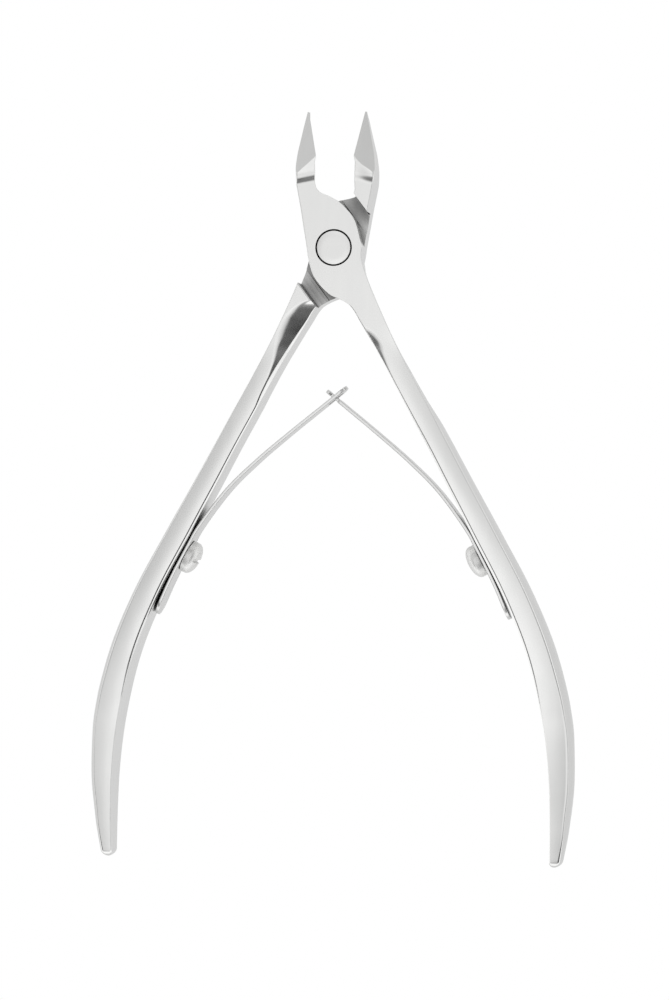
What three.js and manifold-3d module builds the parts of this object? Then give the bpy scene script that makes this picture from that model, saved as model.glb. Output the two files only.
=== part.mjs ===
// Cuticle nipper with a half-lap joint, a flush rivet and two interlocking leaf springs.
//
// Millimetres, +Z up. The nipper lies on its rear face with the jaws open. The pivot axis is Z,
// the origin is where that axis meets the rear face, and the jaw tips point along +Y.
// The front lever carries the left jaw and the right handle. The rear lever is its mirror
// image, with the right jaw and the left handle, and its half of the joint lies behind.
import * as THREE from 'three';
import Module from 'manifold-3d';
import { mergeVertices } from 'three/addons/utils/BufferGeometryUtils.js';

const wasm = await Module();
wasm.setup();

// ---------------------------------------------------------------- driving dimensions
const THICKNESS = 6.5; // joint, front face to rear face
const MID = THICKNESS / 2; // plane where the two levers slide on each other
const LAP_GAP = 0.03; // each plate stays this far from the middle plane
const TIP_Y = 19.95; // jaw tips
const EDGE_END_Y = 13.54; // heel of the cutting edge
const HEEL_EASE = 1.1; // stretch below the heel in which the inner side swings to the edge
const HANDLE_END_Y = -89.3;
const HANDLE_END_RADIUS = 0.95;
const EDGE_ANGLE = THREE.MathUtils.degToRad(11.7); // cutting edge to the closing line
const EDGE_CLEARANCE = 0.04; // each edge stops this far from the closing line
const HEEL_DROP = 0.2; // edge's heel behind the front face
const TIP_DROP = 1.9; // edge's tip behind the front face
const RELIEF = Math.tan(THREE.MathUtils.degToRad(12)); // lean of the jaw's inner side

const STEP_START = 9.15; // slanted band where the jaw's front steps down
const STEP_END = 10.7;
const STEP_DEPTH = 0.42;
const STEP_SLANT = 0.2; // rise of the band per millimetre across the jaw
const STEP_MIDDLE_X = -4.5; // middle of the jaw, where the band's heights are measured
const FACET_BASE_Y = 10.85; // outer end of the ground facet's base line

const WALL_ANGLE = THREE.MathUtils.degToRad(36.9); // half-lap walls, from the X axis
const JAW_WALL = 7.0; // pivot axis to the wall at the jaw
const HANDLE_WALL = 7.22; // pivot axis to the wall at the handle
const JAW_TROUGH = 2.3; // width of the milled trough along each wall
const HANDLE_TROUGH = 1.95;
const TROUGH_DEPTH = 0.3;

const RIVET_HEAD_R = 2.65;
const RIVET_HEAD_H = 1.7;
const RIVET_SHANK_R = 1.9;
const BORE_CLEARANCE = 0.06;

const SCREW_Y = -44.6; // where the spring screws enter the handles
const SCREW_HEAD_R = 2.4;
const SCREW_HEAD_H = 2.0;
const SCREW_HEAD_RIM = 0.8; // height of the head below its dome
const SCREW_HEAD_SETBACK = 0.1; // the head's base is this much smaller in radius
const SCREW_SHANK_R = 0.95;
const SCREW_SHANK_L = 3.0;
const SLOT_WIDTH = 0.6;
const SLOT_DEPTH = 0.6;

const LEAF_THICKNESS = 0.5;
const LEAF_ROOT_WIDTH = 4.4; // across the handle, at the screw
const LEAF_TIP_WIDTH = 2.7; // across the handle, at the crossing
const SEAT_GAP = 0.08; // leaf to handle, and leaf to screw head
const CROSSING_Y = -21.66; // where the two leaves cross
const TONGUE_SHOULDER = 0.75; // shoulder of the tongue before the crossing
const TONGUE_HEAD_START = 0.55; // head of the tongue beyond the crossing
const TONGUE_HEAD_LENGTH = 1.0;
const TONGUE_WIDTH = 0.9;
const TONGUE_HEAD_WIDTH = 1.9;
const TONGUE_HEAD_OUTLINE = [[0.1, 0.8], [0.4, 1], [0.7, 0.85], [0.92, 0.5], [1, 0.2]]; // shares
const LINK_SLOT_WIDTH = 1.3;
const LINK_SLOT_LENGTH = 2.6;

const CORNER_LIMIT = 0.3; // a corner takes at most this share of a section's side
const BACK_ROUNDING = 1.6; // a jaw's rear outer corner is rounder than its front one
const END_FLATNESS = 0.35; // share of its thickness that a handle keeps at its very end
const SMALLEST_END = 0.02; // keeps the last ring of a handle open

const ROUND_SIDES = 40;
const BEYOND = 60; // longer than any cut

// Outline of one forging in plan, as [y, x] for the front lever. "Outside" runs from the
// handle's outer side past the joint to the jaw's cutting edge, and "inside" from the
// handle's inner side past the joint to the jaw's outer side.
const OUTSIDE = [
  [-89.3, 33.8], [-83.6, 34.7], [-77, 35.2], [-70.4, 35], [-66, 34.4], [-61.7, 33.4],
  [-57.3, 32.05], [-50, 28.95], [-41.25, 24.25], [-32.5, 19.35], [-25.2, 15.35],
  [-19.3, 12.1], [-13.5, 9.05], [-10, 7.4], [-7, 6.05], [-4.2, 4.9], [-2.6, 4.36],
  [-1.2, 4.08], [0, 4.12], [1.2, 3.8], [3, 3.35], [4.5, 2.75], [5.7, 1.78], [6.7, 0.65],
  [7.5, -0.8], [8.1, -2.15], [8.9, -2.72], [10.5, -2.9], [12.4, -2.94],
];
// The rear lever differs where its half of the joint meets the jaw.
const OUTSIDE_REAR = [...OUTSIDE.slice(0, 24), [7.2, -0.7], [7.45, -1.9], [7.75, -2.75],
  [8.4, -2.98], [10.5, -2.9], [12.4, -2.94]];
const INSIDE = [
  [-89.3, 32.1], [-83.6, 32.2], [-79.2, 32.15], [-74.8, 31.9], [-70.4, 31.4], [-66, 30.6],
  [-61.7, 29.6], [-57.3, 28.2], [-50, 25.1], [-41.25, 20.65], [-32.5, 16.05], [-24.9, 11.9],
  [-16.7, 7.5], [-12.6, 5.1], [-10.3, 3.72], [-9.3, 3.15], [-8.3, 2.35], [-7.6, 1.2],
  [-7, -0.2], [-6.4, -1.1], [-5.5, -2], [-4.3, -2.85], [-3, -3.36], [-1.2, -3.8], [0.5, -4.05],
  [3, -4.48], [6.3, -5.04], [8.1, -5.4], [9.9, -5.72], [11.4, -5.8], [13.3, -5.66],
  [16, -5.16], [18, -4.76], [20.1, -4.3],
];
const BACK = [[-89.3, 1.3], [-84, 0.7], [-76, 0.2], [-68, 0], [7.5, 0], [10, 0.1], [12, 0.45],
  [14, 1], [16, 1.75], [18, 2.7], [20.1, 4]]; // [y, z] of the rear side
const FRONT = [[-89.3, THICKNESS - 1.3], [-84, THICKNESS - 0.7], [-76, THICKNESS - 0.2],
  [-68, THICKNESS], [20.1, THICKNESS]]; // front side
const OUTER_ROUNDING = [[-89.3, 0.5], [-76, 1], [-40, 0.85], [-20, 0.6], [-8, 0.25], [8, 0.2],
  [12, 0.35], [20.1, 0.15]]; // rounding of the long outer edges
const OUTER_CROWN = [[-89.3, 0.1], [-70, 0.45], [-25, 0.35], [-9, 0], [20.1, 0]];
const INNER_CHAMFER = [[-89.3, 0.4], [-72, 0.4], [-45, 0.45], [-20, 0.4], [-12, 0.15],
  [12.4, 0.12], [13.5, 0.02], [20.1, 0.02]];

// Middle line of a spring leaf in plan, on the right handle: its tail, and its free arm up to
// the tip. Between them it lies straight on the handle, under the screw's head.
const LEAF_TAIL = [[26, -53.6], [24.3, -49.6]];
const LEAF_ARM = [[20.05, -41.3], [15.6, -35.3], [11.25, -31], [6.45, -26.9], [1.25, -22.68],
  [0, CROSSING_Y], [-1.8, -20.15]];
const LEAF_STEPS = 40;

// ---------------------------------------------------------------- helpers
// Smooth curve y(x) through the points, which never overshoots them.
function smoothCurve(points) {
  const n = points.length;
  const slopes = [];
  for (let i = 0; i < n - 1; i += 1) {
    slopes.push((points[i + 1][1] - points[i][1]) / (points[i + 1][0] - points[i][0]));
  }
  const tangents = points.map((_, i) => {
    if (i === 0) return slopes[0];
    if (i === n - 1) return slopes[n - 2];
    const product = slopes[i - 1] * slopes[i];
    return product <= 0 ? 0 : (2 * product) / (slopes[i - 1] + slopes[i]);
  });
  return (x) => {
    let i = 0;
    while (i < n - 2 && x > points[i + 1][0]) i += 1;
    const h = points[i + 1][0] - points[i][0];
    const t = Math.min(Math.max((x - points[i][0]) / h, 0), 1);
    const rise = points[i][1] * (2 * t ** 3 - 3 * t ** 2 + 1)
      + points[i + 1][1] * (3 * t ** 2 - 2 * t ** 3);
    return rise + h * (tangents[i] * (t ** 3 - 2 * t ** 2 + t) + tangents[i + 1] * (t ** 3 - t ** 2));
  };
}

// Closed solid through rings that all have the same number of points.
function loft(rings) {
  const count = rings[0].length;
  const positions = rings.flat().flatMap((p) => [p.x, p.y, p.z]);
  const index = [];
  for (let r = 0; r < rings.length - 1; r += 1) {
    for (let k = 0; k < count; k += 1) {
      const a = r * count + k;
      const b = r * count + ((k + 1) % count);
      index.push(a, b, b + count, a, b + count, a + count);
    }
  }
  for (const [ring, flip] of [[0, true], [rings.length - 1, false]]) {
    const centre = rings[ring].reduce((sum, p) => sum.add(p), new THREE.Vector3());
    centre.divideScalar(count);
    const hub = positions.length / 3;
    positions.push(centre.x, centre.y, centre.z);
    for (let k = 0; k < count; k += 1) {
      const a = ring * count + k;
      const b = ring * count + ((k + 1) % count);
      index.push(...(flip ? [b, a, hub] : [a, b, hub]));
    }
  }
  const geometry = new THREE.BufferGeometry();
  geometry.setAttribute('position', new THREE.Float32BufferAttribute(positions, 3));
  geometry.setIndex(index);
  return geometry;
}

function toSolid(geometry, matrix = new THREE.Matrix4()) {
  const moved = geometry.clone().applyMatrix4(matrix);
  moved.deleteAttribute('normal');
  moved.deleteAttribute('uv');
  const merged = mergeVertices(moved, 1e-5);
  const vertProperties = new Float32Array(merged.attributes.position.array);
  const triVerts = new Uint32Array(merged.index.array);
  return new wasm.Manifold(new wasm.Mesh({ numProp: 3, vertProperties, triVerts }));
}

function toGeometry(solid) {
  const mesh = solid.getMesh();
  const geometry = new THREE.BufferGeometry();
  geometry.setAttribute('position', new THREE.Float32BufferAttribute(mesh.vertProperties, 3));
  geometry.setIndex([...mesh.triVerts]);
  geometry.computeVertexNormals();
  return geometry;
}

// The same solid on the other side of the plane X = 0.
function mirrored(solid) {
  const mesh = solid.getMesh();
  const vertProperties = mesh.vertProperties.map((value, i) => (i % 3 === 0 ? -value : value));
  const triVerts = mesh.triVerts.slice();
  for (let i = 0; i < triVerts.length; i += 3) {
    [triVerts[i], triVerts[i + 1]] = [triVerts[i + 1], triVerts[i]];
  }
  return new wasm.Manifold(new wasm.Mesh({ numProp: 3, vertProperties, triVerts }));
}

// Prism of an outline [u, v], extruded to both sides of the plane spanned by the directions.
function prism(outline, uDirection, vDirection, length) {
  const shape = new THREE.Shape(outline.map(([u, v]) => new THREE.Vector2(u, v)));
  const geometry = new THREE.ExtrudeGeometry(shape, { depth: length, bevelEnabled: false });
  geometry.translate(0, 0, -length / 2);
  const wDirection = new THREE.Vector3().crossVectors(uDirection, vDirection);
  const frame = new THREE.Matrix4().makeBasis(uDirection, vDirection, wDirection);
  return toSolid(geometry, frame);
}

// Solid of revolution of a profile [radius, height] about an axis through a point.
function turned(profile, origin, axis) {
  const points = profile.map(([radius, height]) => new THREE.Vector2(radius, height));
  const geometry = new THREE.LatheGeometry(points, ROUND_SIDES);
  const turn = new THREE.Quaternion().setFromUnitVectors(new THREE.Vector3(0, 1, 0), axis);
  const place = new THREE.Matrix4().compose(origin, turn, new THREE.Vector3(1, 1, 1));
  return toSolid(geometry, place);
}

const X_AXIS = new THREE.Vector3(1, 0, 0);
const Y_AXIS = new THREE.Vector3(0, 1, 0);
const Z_AXIS = new THREE.Vector3(0, 0, 1);
// The rear half of the joint is cut like the front half, turned half round about Y.
const TURN_OVER = new THREE.Matrix4().makeRotationY(Math.PI).setPosition(0, 0, THICKNESS);

// ---------------------------------------------------------------- levers
const outsideFront = smoothCurve(OUTSIDE);
const outsideRear = smoothCurve(OUTSIDE_REAR);
const inside = smoothCurve(INSIDE);
const back = smoothCurve(BACK);
const front = smoothCurve(FRONT);
const outerRounding = smoothCurve(OUTER_ROUNDING);
const outerCrown = smoothCurve(OUTER_CROWN);
const innerChamfer = smoothCurve(INNER_CHAMFER);
const jawRelief = smoothCurve([[-89.3, 0], [8.6, 0], [11.5, 1], [20.1, 1]]);

function edgeZ(y) {
  const drop = THREE.MathUtils.mapLinear(y, EDGE_END_Y, TIP_Y, HEEL_DROP, TIP_DROP);
  return THICKNESS - drop;
}

// Jaw's inner side at the front face: the lean passes through the cutting edge.
function cuttingSide(y) {
  const edge = -y * Math.tan(EDGE_ANGLE) - EDGE_CLEARANCE;
  return edge + (THICKNESS - edgeZ(y)) * RELIEF;
}

// Ring of one lever at height y, from front left, clockwise seen from the handle end.
function leverRing(y, outside) {
  const cut = THREE.MathUtils.smoothstep(y, EDGE_END_Y - HEEL_EASE, EDGE_END_Y);
  let left = inside(y);
  let right = THREE.MathUtils.lerp(outside(y), cuttingSide(y), cut);
  let low = back(y);
  let high = front(y);
  const endCentre = HANDLE_END_Y + HANDLE_END_RADIUS;
  if (y < endCentre) {
    const drop = (endCentre - y) / HANDLE_END_RADIUS;
    const shrink = Math.sqrt(Math.max(1 - drop * drop, SMALLEST_END));
    const middle = (left + right) / 2;
    left = THREE.MathUtils.lerp(middle, left, shrink);
    right = THREE.MathUtils.lerp(middle, right, shrink);
    const flat = THREE.MathUtils.lerp(END_FLATNESS, 1, shrink);
    low = THREE.MathUtils.lerp(MID, low, flat);
    high = THREE.MathUtils.lerp(MID, high, flat);
  }
  const isJaw = y > 0;
  const lean = (high - low) * RELIEF * jawRelief(y);
  const limit = Math.min(right - left, high - low) * CORNER_LIMIT;
  const outer = Math.min(outerRounding(y), limit);
  const inner = Math.min(innerChamfer(y), limit);
  const leftSize = isJaw ? outer : inner;
  const rightSize = isJaw ? inner : outer;
  const corners = [
    { x: left, z: high, size: leftSize, u: [0, 1], v: [1, 0] },
    { x: right, z: high, size: rightSize, u: [1, 0], v: [0, -1] },
    { x: right - lean, z: low, size: rightSize, u: [0, -1], v: [-1, 0] },
    { x: left, z: low, size: leftSize * (isJaw ? BACK_ROUNDING : 1), u: [-1, 0], v: [0, 1] },
  ];
  const ring = [];
  const arc = 1 - Math.SQRT1_2;
  corners.forEach(({ x, z, size, u, v }, i) => {
    for (const [before, after] of [[1, 0], [arc, arc], [0, 1]]) {
      const dx = size * (after * v[0] - before * u[0]);
      const dz = size * (after * v[1] - before * u[1]);
      ring.push(new THREE.Vector3(x + dx, y, z + dz));
    }
    if (i === 1) {
      ring.push(new THREE.Vector3(right - lean / 2 + outerCrown(y), y, (low + high) / 2));
    }
  });
  return ring;
}

function leverStations() {
  const heights = [];
  const endCentre = HANDLE_END_Y + HANDLE_END_RADIUS;
  for (const angle of [80, 55, 30]) {
    heights.push(endCentre - HANDLE_END_RADIUS * Math.sin(THREE.MathUtils.degToRad(angle)));
  }
  const stretches = [[endCentre, -76, 4], [-76, -52, 8], [-52, -10, 10], [-10, -6, 6],
    [-6, 4, 9], [4, 9, 9], [9, EDGE_END_Y - HEEL_EASE, 5], [EDGE_END_Y - HEEL_EASE, EDGE_END_Y, 2],
    [EDGE_END_Y, TIP_Y, 5]];
  for (const [from, to, steps] of stretches) {
    for (let i = 0; i < steps; i += 1) heights.push(from + ((to - from) * i) / steps);
  }
  heights.push(TIP_Y);
  return heights;
}

// Everything between the two walls and behind the front lever's plate, with a shallow trough
// at each wall.
function lapCutter(placed = new THREE.Matrix4()) {
  const floor = MID + LAP_GAP;
  const trough = (from, to) => {
    const points = [];
    for (let i = 1; i < 6; i += 1) {
      const t = i / 6;
      points.push([from + (to - from) * t, floor + TROUGH_DEPTH * Math.sin(Math.PI * t)]);
    }
    return points;
  };
  const outline = [
    [-HANDLE_WALL, -1], [JAW_WALL, -1], [JAW_WALL, floor],
    ...trough(JAW_WALL, JAW_WALL - JAW_TROUGH), [JAW_WALL - JAW_TROUGH, floor],
    [HANDLE_TROUGH - HANDLE_WALL, floor],
    ...trough(HANDLE_TROUGH - HANDLE_WALL, -HANDLE_WALL), [-HANDLE_WALL, floor],
  ];
  const across = new THREE.Vector3(-Math.cos(WALL_ANGLE), Math.sin(WALL_ANGLE), 0);
  return toSolid(toGeometry(prism(outline, across, Z_AXIS, BEYOND)), placed);
}

// Half-space above a plane, as a big slab.
function above(point, normal) {
  const slab = new THREE.BoxGeometry(BEYOND, BEYOND, BEYOND);
  slab.translate(0, 0, BEYOND / 2);
  const turn = new THREE.Quaternion().setFromUnitVectors(Z_AXIS, normal.clone().normalize());
  const place = new THREE.Matrix4().compose(point, turn, new THREE.Vector3(1, 1, 1));
  return toSolid(slab, place);
}

// The jaw's front: a slanted step down, a gentle rise to the edge's heel, and the facet.
function jawFrontCutters() {
  const up = new THREE.Vector3(-STEP_SLANT, 1, 0).normalize();
  const place = (height) => up.y * (height - STEP_SLANT * STEP_MIDDLE_X);
  const far = TIP_Y + 2;
  const top = THICKNESS + 3;
  const heelZ = THICKNESS - HEEL_DROP;
  const profile = [
    [place(STEP_START), top], [place(STEP_START), THICKNESS],
    [place(STEP_END), THICKNESS - STEP_DEPTH], [place(EDGE_END_Y), heelZ], [far, heelZ],
    [far, top],
  ];
  const step = prism(profile, up, Z_AXIS, BEYOND);

  const edge = (y) => new THREE.Vector3(-y * Math.tan(EDGE_ANGLE), y, edgeZ(y));
  const tip = edge(TIP_Y);
  const heel = edge(EDGE_END_Y);
  const baseZ = THICKNESS - STEP_DEPTH;
  const base = new THREE.Vector3(inside(FACET_BASE_Y), FACET_BASE_Y, baseZ);
  const normal = new THREE.Vector3().crossVectors(heel.sub(tip), base.sub(tip));
  if (normal.z < 0) normal.negate();
  const end = [[place(STEP_END), 0], [far, 0], [far, top], [place(STEP_END), top]];
  const facet = above(tip, normal).intersect(prism(end, up, Z_AXIS, BEYOND));
  return step.add(facet);
}

// Where a spring screw goes into the handle of the front lever, and the way it points out.
function screwSeat() {
  const step = 0.5;
  const along = new THREE.Vector3(inside(SCREW_Y + step) - inside(SCREW_Y - step), 2 * step, 0);
  const point = new THREE.Vector3(inside(SCREW_Y), SCREW_Y, MID);
  const out = new THREE.Vector3(-along.y, along.x, 0).normalize();
  return { point, out };
}

function roundBar(radius, from, to, origin = new THREE.Vector3(), axis = Z_AXIS) {
  return turned([[0, from], [radius, from], [radius, to], [0, to]], origin, axis);
}

// One lever before the joint is cut into it.
function forging(outside) {
  const blank = toSolid(loft(leverStations().map((y) => leverRing(y, outside))));
  const { point, out } = screwSeat();
  const screwHole = roundBar(SCREW_SHANK_R + BORE_CLEARANCE, -SCREW_SHANK_L - 0.1, 2, point, out);
  return blank.subtract(jawFrontCutters()).subtract(screwHole);
}

function frontLever() {
  const shank = roundBar(RIVET_SHANK_R + BORE_CLEARANCE, -1, THICKNESS);
  const headSeat = THICKNESS - RIVET_HEAD_H - BORE_CLEARANCE;
  const head = roundBar(RIVET_HEAD_R + BORE_CLEARANCE, headSeat, THICKNESS + 1);
  return forging(outsideFront).subtract(lapCutter()).subtract(shank).subtract(head);
}

function rearLever() {
  const shank = roundBar(RIVET_SHANK_R + BORE_CLEARANCE, -1, THICKNESS + 1);
  return mirrored(forging(outsideRear)).subtract(lapCutter(TURN_OVER)).subtract(shank);
}

// ---------------------------------------------------------------- rivet and screws
function rivet() {
  const neck = THICKNESS - RIVET_HEAD_H;
  const profile = [[0, 0], [RIVET_SHANK_R, 0], [RIVET_SHANK_R, neck], [RIVET_HEAD_R, neck],
    [RIVET_HEAD_R, THICKNESS], [0, THICKNESS]];
  return turned(profile, new THREE.Vector3(), Z_AXIS);
}

// Domed slotted screw. Its head rests on the leaf and its shank fills the handle's hole.
function springScrew() {
  const { point, out } = screwSeat();
  const headBase = SEAT_GAP * 2 + LEAF_THICKNESS;
  const profile = [[0, -SCREW_SHANK_L], [SCREW_SHANK_R, -SCREW_SHANK_L],
    [SCREW_SHANK_R, headBase], [SCREW_HEAD_R - SCREW_HEAD_SETBACK, headBase],
    [SCREW_HEAD_R, headBase + SCREW_HEAD_RIM]];
  for (let i = 1; i <= 6; i += 1) {
    const turn = (Math.PI / 2) * (i / 6);
    const dome = (SCREW_HEAD_H - SCREW_HEAD_RIM) * Math.sin(turn);
    const height = headBase + SCREW_HEAD_RIM + dome;
    profile.push([i === 6 ? 0 : SCREW_HEAD_R * Math.cos(turn), height]);
  }
  const body = turned(profile, point, out);
  const slotBox = new THREE.BoxGeometry(SLOT_WIDTH, 2 * SLOT_DEPTH, 4 * SCREW_HEAD_R);
  slotBox.translate(0, headBase + SCREW_HEAD_H, 0);
  const turn = new THREE.Quaternion().setFromUnitVectors(Y_AXIS, out);
  const place = new THREE.Matrix4().compose(point, turn, new THREE.Vector3(1, 1, 1));
  return body.subtract(toSolid(slotBox, place));
}

// ---------------------------------------------------------------- springs
function leafPoints() {
  const { point, out } = screwSeat();
  const along = new THREE.Vector3(out.y, -out.x, 0);
  const centre = point.clone().addScaledVector(out, SEAT_GAP + LEAF_THICKNESS / 2);
  const seated = [-1, -0.5, 0, 0.5, 1].map((k) => (
    centre.clone().addScaledVector(along, k * SCREW_HEAD_R)
  ));
  const inPlan = ([x, y]) => new THREE.Vector3(x, y, MID);
  return [...LEAF_TAIL.map(inPlan), ...seated, ...LEAF_ARM.map(inPlan)];
}

const leafLine = new THREE.CatmullRomCurve3(leafPoints(), false, 'centripetal');
leafLine.arcLengthDivisions = 800;
const leafLength = leafLine.getLength();

// Share of the leaf's length at which its middle line reaches a height y.
function leafShareAt(y) {
  let low = 0;
  let high = 1;
  for (let i = 0; i < 40; i += 1) {
    const middle = (low + high) / 2;
    if (leafLine.getPointAt(middle).y < y) low = middle;
    else high = middle;
  }
  return low;
}

const crossingShare = leafShareAt(CROSSING_Y);
const screwShare = leafShareAt(SCREW_Y - 0.2);

// Half width of a leaf at a distance along it: widest at the screw, round at both ends.
function leafHalfWidth(share) {
  const distance = share * leafLength;
  const slim = THREE.MathUtils.smoothstep(share, screwShare, crossingShare);
  let half = THREE.MathUtils.lerp(LEAF_ROOT_WIDTH, LEAF_TIP_WIDTH, slim) / 2;
  for (const fromEnd of [distance, leafLength - distance]) {
    if (fromEnd < half) half *= Math.sqrt(Math.max(1 - (1 - fromEnd / half) ** 2, 0.03));
  }
  return half;
}

function leafRing(share, half) {
  const middle = leafLine.getPointAt(share);
  const along = leafLine.getTangentAt(share);
  const side = new THREE.Vector3(-along.y, along.x, 0).multiplyScalar(LEAF_THICKNESS / 2);
  return [[-1, 1], [-1, -1], [1, -1], [1, 1]].map(([s, z]) => (
    middle.clone().addScaledVector(side, s).setZ(MID + z * half)
  ));
}

function endSpacing(steps) {
  return Array.from({ length: steps + 1 }, (_, i) => (1 - Math.cos((Math.PI * i) / steps)) / 2);
}

function leafHole() {
  const { point, out } = screwSeat();
  return roundBar(SCREW_SHANK_R + BORE_CLEARANCE, -1, 3, point, out);
}

// Leaf of the rear lever: a round end with a slot for the other leaf's tongue.
function slottedLeaf() {
  const rings = endSpacing(LEAF_STEPS).map((share) => leafRing(share, leafHalfWidth(share)));
  const middle = leafLine.getPointAt(crossingShare);
  const along = leafLine.getTangentAt(crossingShare);
  const slot = new THREE.BoxGeometry(LINK_SLOT_LENGTH, 3, LINK_SLOT_WIDTH);
  const turn = new THREE.Quaternion().setFromUnitVectors(X_AXIS, along);
  const place = new THREE.Matrix4().compose(middle, turn, new THREE.Vector3(1, 1, 1));
  const leaf = toSolid(loft(rings)).subtract(toSolid(slot, place)).subtract(leafHole());
  return mirrored(leaf);
}

// Leaf of the front lever: it narrows to a tongue with a small round head.
function tongueLeaf() {
  const shoulder = crossingShare - TONGUE_SHOULDER / leafLength;
  const neckEnd = crossingShare + TONGUE_HEAD_START / leafLength;
  const headEnd = neckEnd + TONGUE_HEAD_LENGTH / leafLength;
  const rings = endSpacing(LEAF_STEPS).map((t) => {
    const share = t * shoulder;
    return leafRing(share, leafHalfWidth(share));
  });
  const neck = TONGUE_WIDTH / 2;
  rings.push(leafRing(shoulder + 0.05 / leafLength, neck), leafRing(neckEnd, neck));
  const headHalf = TONGUE_HEAD_WIDTH / 2;
  for (const [t, width] of TONGUE_HEAD_OUTLINE) {
    rings.push(leafRing(THREE.MathUtils.lerp(neckEnd, headEnd, t), headHalf * width));
  }
  return toSolid(loft(rings)).subtract(leafHole());
}

// ---------------------------------------------------------------- assembly
const STEEL = { color: 0xd6d6d4, roughness: 0.28, metalness: 1 };
const SPRING_STEEL = { color: 0xc6c6c4, roughness: 0.32, metalness: 1 };
const SCREW_STEEL = { color: 0xcfcfcd, roughness: 0.38, metalness: 1 };

function named(name, solid, look) {
  const mesh = new THREE.Mesh(toGeometry(solid), new THREE.MeshStandardMaterial(look));
  mesh.name = name;
  return mesh;
}

const nipper = new THREE.Group();
nipper.add(
  named('front_lever', frontLever(), STEEL),
  named('rear_lever', rearLever(), STEEL),
  named('pivot_rivet', rivet(), STEEL),
  named('front_leaf_spring', tongueLeaf(), SPRING_STEEL),
  named('rear_leaf_spring', slottedLeaf(), SPRING_STEEL),
  named('front_spring_screw', springScrew(), SCREW_STEEL),
  named('rear_spring_screw', mirrored(springScrew()), SCREW_STEEL),
);

export default nipper;
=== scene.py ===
import math

import bmesh
import bpy
import numpy as np
from mathutils import Matrix, Vector


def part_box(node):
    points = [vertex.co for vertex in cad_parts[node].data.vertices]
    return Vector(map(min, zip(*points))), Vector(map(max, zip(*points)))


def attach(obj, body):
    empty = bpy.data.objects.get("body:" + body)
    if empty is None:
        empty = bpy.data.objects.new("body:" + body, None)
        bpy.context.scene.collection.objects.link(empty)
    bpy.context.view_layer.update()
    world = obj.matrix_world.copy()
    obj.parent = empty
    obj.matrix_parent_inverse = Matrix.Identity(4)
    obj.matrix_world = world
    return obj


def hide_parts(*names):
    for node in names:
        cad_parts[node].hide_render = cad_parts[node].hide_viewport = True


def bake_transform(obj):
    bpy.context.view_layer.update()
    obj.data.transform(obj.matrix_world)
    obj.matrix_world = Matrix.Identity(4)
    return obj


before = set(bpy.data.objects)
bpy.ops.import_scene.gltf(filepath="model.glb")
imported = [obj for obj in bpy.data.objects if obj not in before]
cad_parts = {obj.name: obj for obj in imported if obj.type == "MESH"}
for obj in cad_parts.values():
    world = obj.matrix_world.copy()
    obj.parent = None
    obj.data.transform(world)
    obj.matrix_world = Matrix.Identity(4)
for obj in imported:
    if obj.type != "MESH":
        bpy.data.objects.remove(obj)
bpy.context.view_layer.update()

# ------------------------------------------------------------------ sizes, in millimetres
MM = 0.001
lever_low, lever_high = (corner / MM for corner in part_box("front_lever"))
rivet_low, rivet_high = (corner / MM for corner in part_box("pivot_rivet"))
THICKNESS = lever_high.z
MID = THICKNESS / 2
TIP_Y = lever_high.y
HANDLE_END_Y = lever_low.y
RIVET_HEAD_R = (rivet_high.x - rivet_low.x) / 2

HANDLE_END_RADIUS = 0.95
LAP_GAP = 0.03
EDGE_END_Y = 13.54
EDGE_ANGLE = math.radians(11.7)
EDGE_CLEARANCE = 0.04
HEEL_EASE = 1.1          # below the heel, the inner side swings to the edge
HEEL_DROP = 0.2
EDGE_HEEL_Z = THICKNESS - HEEL_DROP
EDGE_TIP_Z = THICKNESS - 1.9
RELIEF = math.tan(math.radians(12))
WALL_ANGLE = math.radians(36.9)
JAW_WALL = 7.0
HANDLE_WALL = 7.22
JAW_TROUGH = 2.3
HANDLE_TROUGH = 1.95
TROUGH_DEPTH = 0.3
GROOVE_JAW = (1.3, 0.12)      # relief at a wall's foot: its share of the trough's depth and
GROOVE_HANDLE = (0.5, 0.34)   # its share of the trough's width
TROUGH_PEAK = 0.7        # a trough is deepest at this share of its width,
TROUGH_SAG = 0.25        # loses this share of its depth towards its end
TROUGH_LIP = 0.06        # and ends in a step over this share of its width
LAP_RIM = 0.12           # bevel at the front edge of the joint's wall on the handle: its depth
LAP_LEAN = 1.5           # and its width per depth
SHOULDER_STEP = 0.42     # how far the jaw's front drops behind the plate
STEP_START = 9.05        # slanted band in which it drops
STEP_END = 10.7
STEP_SLANT = 0.2         # rise of the band per millimetre across the jaw
STEP_MIDDLE_X = -4.5     # where the band's heights are measured
STEP_SOFTNESS = 0.42     # share of the band that is rounded at either end
STEP_RISE_END = 13.4     # the front has come back up to the heel of the edge here
REAR_STEP_SHIFT = 0.2    # the rear jaw's band lies higher, and it fades inwards
REAR_STEP_OUTER = (-5.4, 0.95)
REAR_STEP_INNER = (-3.2, 0.5)
FACET_BASE_Y = 10.85     # outer end of the ground facet's base line
FACET_DEPTH = 0.04       # the facet is ground this much deeper than the edge
FACET_CLEAR = 0.3        # and it starts this far beyond the band
CORNER_LIMIT = 0.42      # a corner takes at most this share of a section's side
BELLY_ROUNDING = 0.8     # a jaw's rear outer corner is this much rounder
END_FLATNESS = 0.35      # share of its thickness that a handle keeps at its very end
SMALLEST_END = 0.0004
CROWN_START = 0.2        # share of the handle's face that stays flat
NARROW_FACET = 0.15      # the inner front corner: a narrow facet whose tilt changes along
NARROW_SHARE = 0.4       # the handle, then a wider one
NARROW_TILTS = (6, 22)
NARROW_TILT_Y = (-68, -60)
WIDE_TILT = 38
GROUND_CORNER_Y = -6.5   # the ground corner ends here
RIVET_SHANK_R = 1.9
RIVET_HEAD_H = 1.7
RIVET_GROOVE = 0.2       # visible ring round the rivet's head
RIVET_RIM = 0.05
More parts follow.
